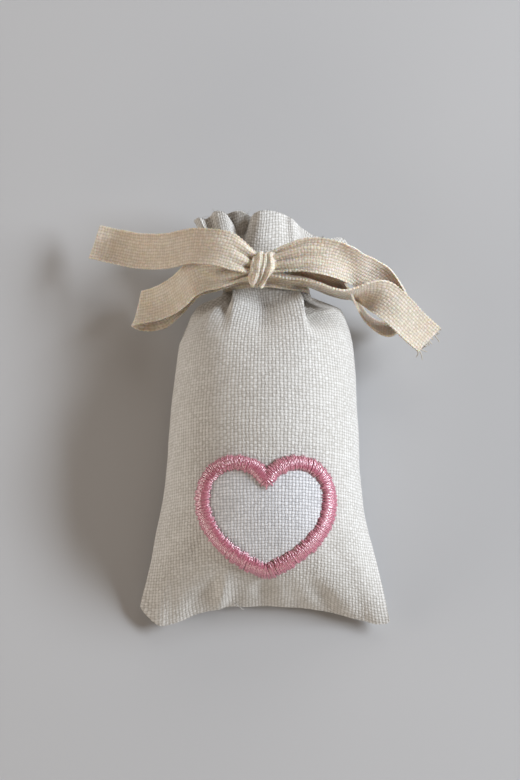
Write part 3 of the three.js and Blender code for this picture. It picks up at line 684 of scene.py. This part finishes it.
def makeWrap():
    turn = np.linspace(0, 2 * np.pi, wrapSet["around"], endpoint=False)
    w = np.linspace(-1, 1, wrapSet["strands"])[:, None]
    phase = wrapSet["creases"] * w + 0.55 * np.sin(3 * turn + 0.5) + 0.3 * np.sin(7 * turn)
    crease = np.abs(np.cos(np.pi / 2 * phase)) ** 0.8 - 0.5
    crease = crease + wrapSet["rough"] * softNoise(8 * turn, 6 * w + 30, 2, 31)
    away = wrapSet["room"] + crease + wrapSet["lip"] * w ** 2
    width = wrapSet["width"] / 2 * (1 + 0.06 * np.sin(2 * turn + 0.6))
    cx, cy, cz = wrapSet["centre"]
    hx, hz = wrapSet["half"]
    outer = joined(cx + (hx + away) * np.cos(turn), cy + width * w, cz + (hz + away) * np.sin(turn))
    depth = wrapSet["thickness"] / 2 * gridNormals(outer, True)
    weave = bandWeave(w, turn, wrapSet["weaveRadius"])
    return makeCloth("tapeNeckWrap", outer + depth, outer - depth, weave, True)


# Knot: a band drawn round the crossed strips, from its top edge over the front to its lower tip and back below;
# width and middle change along the turn, and rounded folds run slanting along it
knotSet = {
    "depth": 11.2, "above": 4.1, "below": 6.4, "around": 144, "strands": 41, "foldShare": 5.2,
    "hollow": (0.98, 0.45, 0.45), "weaveRadius": 5.2,
}
knotHalf = curveThrough([(0, 3.3), (0.15, 3.2), (0.5, 3.7), (0.72, 2.9), (0.95, 1.7), (1.2, 2.2), (1.6, 3.0), (2, 3.3)])
knotShift = curveThrough([(0, -0.8), (0.2, -0.9), (0.5, -1.0), (0.8, -1.9), (1, -2.5), (1.4, -1.4), (2, -0.8)])

# Folds: height, place across, width on each side and share of the slant
knotFolds = [
    (1, -0.42, 0.24, 0.28, 1), (1.2, 0.66, 0.28, 0.22, 0.2), (0.6, 0.1, 0.12, 0.12, 1), (0.4, -0.92, 0.1, 0.1, 0),
]


def makeKnot():
    share = np.linspace(0, 2, knotSet["around"], endpoint=False)
    turn = np.pi * share
    w = np.linspace(-1, 1, knotSet["strands"])[:, None]
    rough = softNoise(6 * turn, 5 * w + 20, 2.2, 41)
    lean = 0.5 * (share - 0.5) + 0.1 * rough
    fold = 0.35 * rough
    for height, place, below, above, follow in knotFolds:
        fold = fold + height * bell(w - place + follow * lean, below, above)
    crown = np.sqrt(np.maximum(1 - np.abs(w) ** 3.2, 0))
    radius = (0.66 + 0.34 * crown) + (fold - 1.0) * (0.3 + 0.7 * crown) / knotSet["foldShare"]
    x = knotShift(share) + knotHalf(share) * w + 1.9 * bell(share - 0.08, 0.1, 0.09) * np.clip(w, 0, 1) ** 2
    x = x - 1.2 * bell(share - 0.86, 0.14, 0.14) * np.clip(-w, 0, 1)
    y = knotSet["depth"] / 2 * radius * np.cos(turn)
    z = np.where(np.sin(turn) > 0, knotSet["above"], knotSet["below"]) * radius * np.sin(turn)
    outer = joined(x, y, z)
    centre = np.array(tapeSet["knot"])
    weave = bandWeave(w, turn, knotSet["weaveRadius"])
    return makeCloth("tapeKnot", centre + outer, centre + outer * np.array(knotSet["hollow"]), weave, True)


neckWrap = makeWrap()
tapeKnot = makeKnot()
print("tape made")


# Lavender inside: rings of both panels drawn in towards their middles, closed at both ends, with bumps of buds
fillSet = {
    "low": -47, "high": 33, "inset": 4.0, "endShare": 0.06, "bump": 0.5, "budSize": 1.7, "floor": 1.4, "core": 0.03,
}


def makeFilling():
    rows = np.flatnonzero((rowY > fillSet["low"]) & (rowY < fillSet["high"]))[::2]
    ring = np.concatenate([frontGrid[rows, 2:-2:2], backGrid[rows, -3:2:-2]], 1)
    middle = ring.mean(1, keepdims=True)
    away = ring - middle
    reach = np.linalg.norm(away, axis=-1, keepdims=True)
    along = np.linspace(0, 1, len(rows))[:, None, None]
    start, end = (np.clip(part / fillSet["endShare"], 0.0004, 1) for part in (along, 1 - along))
    bump = fillSet["bump"] * softNoise(ring[..., 0] + 90, ring[..., 1] + ring[..., 2] + 120, fillSet["budSize"], 51)
    place = middle + away / reach * np.maximum(reach - fillSet["inset"] + bump[..., None], 1) * np.sqrt(start * end)
    place[..., 2] = np.maximum(place[..., 2], fillSet["floor"])
    turn = np.linspace(0, 90, ring.shape[1] + 1)
    weave = joined(turn, rowY[rows][:, None])
    return makeCloth("lavenderFilling", place, middle + (place - middle) * fillSet["core"], weave, True)


lavender = makeFilling()


# Seam threads: zigzags a little inside the side and base seams
threadSet = {"pitch": 1.5, "inset": 1.9, "zigzag": 0.5, "radius": 0.22, "low": -48, "high": 34}


def makeSeamThread(name, seam, inward):
    length = lengthAlong(seam, 0)
    step = np.arange(threadSet["pitch"], length[-1] - threadSet["pitch"], threadSet["pitch"])
    path = joined(*(np.interp(step, length, seam[:, k] + inward[k] * threadSet["inset"]) for k in range(3)))
    path[:, 2] += np.where(np.arange(len(step)) % 2 == 0, 1, -1) * threadSet["zigzag"]
    return makeTubes(name, path[None], threadSet["radius"], threadSet["radius"], np.array([0, 0, 1.0]))


bodyRows = np.flatnonzero((rowY > threadSet["low"]) & (rowY < threadSet["high"]))
rightThread = makeSeamThread("seamThreadRight", frontGrid[bodyRows, 0], (-1, 0, 0))
leftThread = makeSeamThread("seamThreadLeft", frontGrid[bodyRows, -1], (1, 0, 0))
baseThread = makeSeamThread("seamThreadBase", frontGrid[0, 12:-12], (0, 0.9, 0))


# Loose yarns: short tubes that leave a cut edge and bend at random
def makeFray(name, start, direction, length, bend, radius, seed):
    rng = np.random.default_rng(seed)
    t = np.linspace(0, 1, 6)[None, :, None]
    sway = rng.normal(0, 1, start.shape)[:, None] * bend
    curl = rng.normal(0, 1, start.shape)[:, None] * bend
    paths = start[:, None] + length[:, None, None] * (direction[:, None] * t + sway * t ** 2 + curl * t ** 3)
    paths[..., 2] = np.maximum(paths[..., 2], 0.2)
    taper = radius * np.array([1, 1, 0.95, 0.9, 0.8, 0.6])
    return makeTubes(name, paths, taper, taper, np.array([0.3, 0.2, 1.0]), 5)


# Fine yarns along both rims of the frill, rooted a little inside them
def frillFray():
    root, longest, bend, radius = 0.3, 2.2, 0.35, 0.06
    rng = np.random.default_rng(61)
    starts, directions = [], []
    for grid, count in ((frontGrid, 34), (backGrid, 26)):
        column = np.sort(rng.uniform(0, len(columnS) - 2, count))
        j = column.astype(int)
        t = (column - j)[:, None]
        rim, before = (grid[row, j] * (1 - t) + grid[row, j + 1] * t for row in (-1, -4))
        starts.append(rim - unit(rim - before) * root)
        directions.append(unit(rim - before))
    start, direction = np.concatenate(starts), np.concatenate(directions)
    length = rng.gamma(1.6, 0.3, len(start)) + 0.3
    return makeFray("frillFray", start, direction, np.minimum(length, longest), bend, radius, 62)


# Thicker yarns at the right tail's slanting cut, three of them longer
def tailFray():
    count, root, longest, bend, radius = 24, 0.6, 3.6, 0.24, 0.2
    rng = np.random.default_rng(71)
    middle, edge, share, length = stripPath(rightTailRoute)
    along = unit(middle[-1] - middle[-4])
    w = np.linspace(-0.96, 0.96, count) + rng.uniform(-0.03, 0.03, count)
    start = middle[-1] + edge[-1] * (w * tapeSet["width"] / 2)[:, None] + along * (0.5 * w - root)[:, None]
    reach = rng.gamma(2.2, 0.5, count) + 0.6
    reach[[1, 2, 21]] += 1.4
    direction = np.broadcast_to(along, start.shape)
    return makeFray("tailFray", start, direction, np.minimum(reach, longest), bend, radius, 72)


# One loose end of yarn that curls over the base seam
def baseYarn():
    radius = 0.16
    flat = joined(np.linspace(-10.5, -6.6, 6), baseY + 0.6)
    place = onFront(flat, np.array([0.1, 0.7, 1.1, 1.2, 0.9, 0.3]))
    place[:, 1] += np.array([0.6, 0.9, 0.8, 0.2, -0.6, -1.4])
    return makeTubes("baseLooseYarn", place[None], radius, radius, np.array([0.0, 0.3, 1.0]))


frill, tail, loose = frillFray(), tailFray(), baseYarn()
print("yarns made")


# A value in a node tree, for formulas: each sum, difference, product or quotient adds a math node
class Signal:
    def __init__(self, tree, socket):
        self.tree, self.socket = tree, socket

    def other(self, output):
        return Signal(self.tree, self.socket.node.outputs[output])

    def __add__(self, other):
        return calc(self.tree, "ADD", self, other)

    def __sub__(self, other):
        return calc(self.tree, "SUBTRACT", self, other)

    def __rsub__(self, other):
        return calc(self.tree, "SUBTRACT", other, self)

    def __mul__(self, other):
        return calc(self.tree, "MULTIPLY", self, other)

    def __truediv__(self, other):
        return calc(self.tree, "DIVIDE", self, other)


# Puts a signal or a constant into a socket
def feed(tree, value, socket):
    if isinstance(value, Signal):
        tree.links.new(value.socket, socket)
    else:
        socket.default_value = (*value, 1) if socket.type == "RGBA" else value


# Adds a node with its settings and inputs, and gives one of its outputs
def addNode(tree, kind, inputs, output=0, **settings):
    node = tree.nodes.new("ShaderNode" + kind)
    for key, value in settings.items():
        setattr(node, key, value)
    for key, value in inputs.items():
        feed(tree, value, node.inputs[key])
    return Signal(tree, node.outputs[output])


def calc(tree, operation, *values):
    return addNode(tree, "Math", dict(enumerate(values)), operation=operation)


def noise(vector, scale, detail=2.0, roughness=0.5):
    inputs = {"Vector": vector, "Scale": scale, "Detail": detail, "Roughness": roughness}
    return addNode(vector.tree, "TexNoise", inputs, "Fac")


def combine(tree, x, y, z=0.0):
    return addNode(tree, "CombineXYZ", {0: x, 1: y, 2: z})


def split(vector):
    x = addNode(vector.tree, "SeparateXYZ", {0: vector})
    return x, x.other(1)


# Random value of a number, or of a pair of numbers given as a vector
def randomOf(value, dimensions="1D"):
    inputs = {"W" if dimensions == "1D" else "Vector": value}
    return addNode(value.tree, "TexWhiteNoise", inputs, "Value", noise_dimensions=dimensions)


def blendColour(share, low, high):
    return addNode(share.tree, "Mix", {0: share, 6: low, 7: high}, 2, data_type="RGBA")


# Eased share of a value between two limits
def easedShare(value, low, high):
    return addNode(value.tree, "MapRange", {0: value, 1: low, 2: high}, interpolation_type="SMOOTHSTEP")


def weavePlace(tree):
    return addNode(tree, "UVMap", {}, uv_map="weave")


def objectPlace(tree):
    return addNode(tree, "TexCoord", {}, "Object")


# Plain weave: round yarns one pitch apart pass over and under each other as cosines; each yarn has its own tone and
# swells in slubs along its length, and each crossing has its own height and tone
weaveSet = {
    "drift": 1.6, "slubScale": 0.16, "slubSwell": 0.9, "slubTone": 0.9, "yarnHalf": 0.45, "warpKeep": 0.74,
    "weftKeep": 0.66, "weftLift": 0.78, "crossing": 1.3, "crossingHeight": 0.5, "gapLimits": (0.14, 0.92),
    "toneShare": 0.53,
}
weaveInputs = ("Place", "Warp Pitch", "Weft Pitch", "Warp Lift", "Unevenness")
weaveOutputs = ("Height", "Yarn", "Tone")


def weaveGroup():
    tree = bpy.data.node_groups.new("plainWeave", "ShaderNodeTree")
    for names, side in ((weaveInputs, "INPUT"), (weaveOutputs, "OUTPUT")):
        for name in names:
            kind = "NodeSocketVector" if name == "Place" else "NodeSocketFloat"
            tree.interface.new_socket(name, in_out=side, socket_type=kind)
    sources, results = tree.nodes.new("NodeGroupInput").outputs, tree.nodes.new("NodeGroupOutput").inputs
    place, warpPitch, weftPitch, warpLift, uneven = (Signal(tree, sources[name]) for name in weaveInputs)
    u, v = split(place)
    drift = (noise(place, 0.11, 3) - 0.5) * (uneven * weaveSet["drift"])
    driftTwo = (noise(combine(tree, v, u, 9.0), 0.13, 3) - 0.5) * (uneven * weaveSet["drift"])
    wobble = (noise(place, 0.55, 1) - 0.5) * uneven
    p = u / warpPitch + (drift + wobble)
    q = v / weftPitch + driftTwo - wobble
    i, j = calc(tree, "FLOOR", p), calc(tree, "FLOOR", q)
    slubWarp = noise(combine(tree, i * 7.31, v * weaveSet["slubScale"]), 1.0)
    slubWeft = noise(combine(tree, j * 5.77, u * weaveSet["slubScale"], 4.0), 1.0)

    def yarn(spot, cell, slub, lift, over, keep):
        half = (slub - 0.5) * (uneven * weaveSet["slubSwell"]) + weaveSet["yarnHalf"]
        off = (spot - cell - 0.5) / half
        dome = calc(tree, "SQRT", calc(tree, "MAXIMUM", 1.0 - off * off, 0.0))
        return dome * lift * (over * keep + (1 - keep))

    def crossing(spot, cell, sign):
        return calc(tree, "COSINE", (spot - 0.5 - cell) * math.pi) * (sign * 0.5) + 0.5

    warp = yarn(p, i, slubWarp, warpLift, crossing(q, i, 1), weaveSet["warpKeep"])
    weft = yarn(q, j, slubWeft, weaveSet["weftLift"], crossing(p, j, -1), weaveSet["weftKeep"])
    own = (randomOf(combine(tree, i, j), "2D") - 0.5) * (uneven * weaveSet["crossing"])
    height = calc(tree, "MAXIMUM", warp, weft) * (own * weaveSet["crossingHeight"] + 1.0)
    onTop = calc(tree, "GREATER_THAN", warp, weft)
    toneWarp = randomOf(i) + slubWarp * weaveSet["slubTone"]
    toneWeft = randomOf(j + 517.0) + slubWeft * weaveSet["slubTone"]
    tone = toneWarp * onTop + toneWeft * (1.0 - onTop)
    # The Yarn mask is low in the hollows between yarns, where the cloth materials paint shade
    values = (height, easedShare(height, *weaveSet["gapLimits"]), tone * weaveSet["toneShare"] + own)
    for value, name in zip(values, weaveOutputs):
        feed(tree, value, results[name])
    return tree


plainWeave = weaveGroup()


def tune(material, values):
    shader = material.node_tree.nodes["Principled BSDF"]
    for key, value in values.items():
        shader.inputs[key].default_value = value
    return shader


def newMaterial(name, roughness, sheen=0.0):
    material = bpy.data.materials.new(name)
    material.use_nodes = True
    values = {"Roughness": roughness, "Specular IOR Level": 0.25, "Sheen Weight": sheen, "Sheen Roughness": 0.5}
    return material, material.node_tree, tune(material, values)


def addBump(shader, height, distance):
    bump = addNode(height.tree, "Bump", {"Distance": distance, "Height": height})
    feed(height.tree, bump, shader.inputs["Normal"])


# Woven cloth: yarn colours and a painted shade between the yarns, both by the weave; tone by yarn, wide soft colour
# change, and fine fibre noise
def clothMaterial(name, paintedGapShade, dark, light, pitch, lift, uneven, depth):
    material, tree, shader = newMaterial(name, 0.9, 0.1)
    place = weavePlace(tree)
    inputs = dict(zip(weaveInputs, (place, *pitch, lift, uneven)))
    height = addNode(tree, "Group", inputs, "Height", node_tree=plainWeave)
    yarn, tone = height.other("Yarn"), height.other("Tone")
    wide = noise(objectPlace(tree), 60, 3)
    fibre = noise(place, 5.5, 3, 0.6)
    yarnColour = blendColour(tone * 0.6 + wide * 0.4, dark, light)
    shade = yarn * (fibre * 0.3 + 0.85)
    # The hollows between yarns get the gap colour: painted shade, darker than the yarns
    feed(tree, blendColour(shade, paintedGapShade, yarnColour), shader.inputs["Base Color"])
    addBump(shader, fibre * 0.25 + height, depth)
    return material


# Thread and yarn: fine plies slant round the strand, tone changes along it
def threadMaterial(name, dark, light, roughness, sheen):
    plies, twist, depth = 3.0, 4.5, 0.00006
    material, tree, shader = newMaterial(name, roughness, sheen)
    around, along = split(weavePlace(tree))
    ply = calc(tree, "SINE", around * (2 * math.pi * plies) + along * twist) * 0.5 + 0.5
    tone = ply * 0.35 + noise(combine(tree, 0.0, along), 0.35) * 0.75
    feed(tree, blendColour(tone, dark, light), shader.inputs["Base Color"])
    addBump(shader, ply, depth)
    return material


# Loose matter: coloured by two sizes of noise on object coordinates
def lumpMaterial(name, dark, light, scale, depth):
    material, tree, shader = newMaterial(name, 0.95, 0.1)
    place = objectPlace(tree)
    mixed = noise(place, scale * 4) * 0.4 + noise(place, scale, 4, 0.6) * 0.7
    feed(tree, blendColour(easedShare(mixed, 0.3, 0.75), dark, light), shader.inputs["Base Color"])
    addBump(shader, mixed, depth)
    return material


# Each gap colour below is painted shade for the hollows between the yarns
linen = clothMaterial(
    "linenWeave", paintedGapShade=(0.43, 0.405, 0.37), dark=(0.635, 0.615, 0.59), light=(0.76, 0.745, 0.725),
    pitch=(1.13, 0.92), lift=1.03, uneven=0.46, depth=0.00022,
)
patchCloth = clothMaterial(
    "patchWeave", paintedGapShade=(0.42, 0.42, 0.44), dark=(0.77, 0.77, 0.80), light=(0.89, 0.89, 0.92),
    pitch=(1.04, 0.92), lift=0.88, uneven=0.42, depth=0.00022,
)
# The tape's gap colour is a warmer painted shade, standing in for light bounced inside the cloth
tapeCloth = clothMaterial(
    "tapeWeave", paintedGapShade=(0.56, 0.485, 0.385), dark=(0.68, 0.61, 0.51), light=(0.81, 0.75, 0.665),
    pitch=(0.94, 0.90), lift=1.0, uneven=0.52, depth=0.00019,
)
# Light passes through the thin tape
tune(tapeCloth, {"Subsurface Weight": 0.5, "Subsurface Radius": (1.0, 0.55, 0.28), "Subsurface Scale": 0.0012})
satin = threadMaterial("satinThread", (0.40, 0.040, 0.095), (0.70, 0.21, 0.32), 0.34, 0.15)
tune(satin, {"Specular IOR Level": 1.0, "IOR": 1.9, "Coat Weight": 1.0, "Coat Roughness": 0.4})
sewing = threadMaterial("sewingThread", (0.50, 0.48, 0.44), (0.64, 0.62, 0.58), 0.75, 0.1)
linenYarn = threadMaterial("linenYarn", (0.52, 0.505, 0.485), (0.64, 0.625, 0.61), 0.9, 0.1)
tapeYarn = threadMaterial("tapeYarn", (0.50, 0.45, 0.38), (0.62, 0.57, 0.49), 0.9, 0.1)
felt = lumpMaterial("backingFelt", (0.52, 0.52, 0.51), (0.66, 0.66, 0.65), 900, 0.00008)
buds = lumpMaterial("lavenderBuds", (0.13, 0.10, 0.09), (0.34, 0.26, 0.42), 420, 0.0004)
print("materials made")


# Floor, world and lamps, in metres
stageSet = {
    "floorColour": (0.52, 0.52, 0.53), "floorSize": 6.0, "worldColour": (1.0, 0.68, 0.45), "worldStrength": 0.07,
}


def makeFloor():
    half = stageSet["floorSize"] / 2
    mesh = bpy.data.meshes.new("floor")
    mesh.from_pydata([(-half, -half, 0), (half, -half, 0), (half, half, 0), (-half, half, 0)], [], [(0, 1, 2, 3)])
    material, tree, shader = newMaterial("paleFloor", 0.9)
    tune(material, {"Base Color": (*stageSet["floorColour"], 1), "Specular IOR Level": 0.05})
    mesh.materials.append(material)
    floor = addObject("floor", mesh)


def makeWorld():
    world = bpy.data.worlds.new("studio")
    world.use_nodes = True
    background = world.node_tree.nodes["Background"].inputs
    background["Color"].default_value = (*stageSet["worldColour"], 1)
    background["Strength"].default_value = stageSet["worldStrength"]
    bpy.context.scene.world = world
    bpy.context.scene.view_settings.view_transform = "Standard"


# Lamps that face the object: turn from the right, rise over the floor, distance, power, size and colour
lampSet = {
    "key": (11.0, 29.5, 1.5, 30.4, (0.95, 0.32), (0.87, 0.935, 1.0)),
    "fill": (180.0, 10.0, 0.95, 5.5, (0.7, 0.4), (1.0, 0.94, 0.86)),
    "front": (-90.0, 15.0, 0.95, 2.6, (0.7, 0.5), (1.0, 0.92, 0.80)),
    "back": (72.0, 26.0, 0.95, 2.5, (0.7, 0.5), (1.0, 0.97, 0.93)),
    "over": (0.0, 88.0, 0.95, 0.4, (0.9, 0.9), (1.0, 0.74, 0.52)),
}


def makeLamps():
    for name, (turn, rise, distance, power, size, colour) in lampSet.items():
        light = bpy.data.lights.new(name, "AREA")
        light.shape = "RECTANGLE"
        light.energy, light.color = power, colour
        light.size, light.size_y = size
        turn, rise = math.radians(turn), math.radians(rise)
        away = mathutils.Vector((math.cos(turn) * math.cos(rise), math.sin(turn) * math.cos(rise), math.sin(rise)))
        holder = addObject(name, light)
        holder.location = away * distance
        holder.rotation_euler = away.to_track_quat("Z", "Y").to_euler()


makeFloor()
makeWorld()
makeLamps()
print("stage set")


# Finishes, bodies and what each piece stands for
def dress(piece, material, slot, *nodes):
    piece.data.materials.append(material)
    if nodes:
        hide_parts(*nodes)


for piece, material, slot, *nodes in (
    (frontPanel, linen, "linen", "front_panel"),
    (backPanel, linen, "linen", "back_panel"),
    (frill, linenYarn, "linen"),
    (loose, linenYarn, "linen"),
    (heartPatch, patchCloth, "patch", "heart_patch"),
    (heartBacking, felt, "backing", "heart_backing"),
    (heartStitches, satin, "satin", "heart_satin_border"),
    (heartBed, satin, "satin"),
    (neckWrap, tapeCloth, "tape", "tape_neck_wrap"),
    (tapeKnot, tapeCloth, "tape", "tape_knot"),
    (lavender, buds, "lavender", "lavender_filling"),
    (rightThread, sewing, "thread", "right_seam_thread"),
    (leftThread, sewing, "thread", "left_seam_thread"),
    (baseThread, sewing, "thread", "base_seam_thread"),
):
    dress(piece, material, slot, *nodes)
    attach(piece, "bag")
dress(leftTail, tapeCloth, "tape", "tape_left_tail")
dress(leftLoop, tapeCloth, "tape", "tape_left_loop")
dress(rightLoop, tapeCloth, "tape", "tape_right_loop")
dress(rightTail, tapeCloth, "tape", "tape_right_tail")
dress(tail, tapeYarn, "tape")

# Loops and tails: places a little out from the knot on each side are worked out, and each strip's transform is baked
# into its mesh
knot = np.array(tapeSet["knot"])
bendStart, bendEnd = 2.6, 7.5
for piece, root, body, side in ((leftLoop, "bag", "left_loop", -1), (leftTail, "left_loop", "left_tail", -1),
                                (rightLoop, "bag", "right_loop", 1), (rightTail, "right_loop", "right_tail", 1)):
    start, end = knot + (side * bendStart, 0, 0), knot + (side * bendEnd, 0, 0)
    tuple(start * mm)
    tuple(end * mm)
    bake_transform(piece)
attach(tail, "right_tail")

leftLoopLength * mm
leftTailLength * mm
rightLoopLength * mm
rightTailLength * mm
print("pieces dressed")
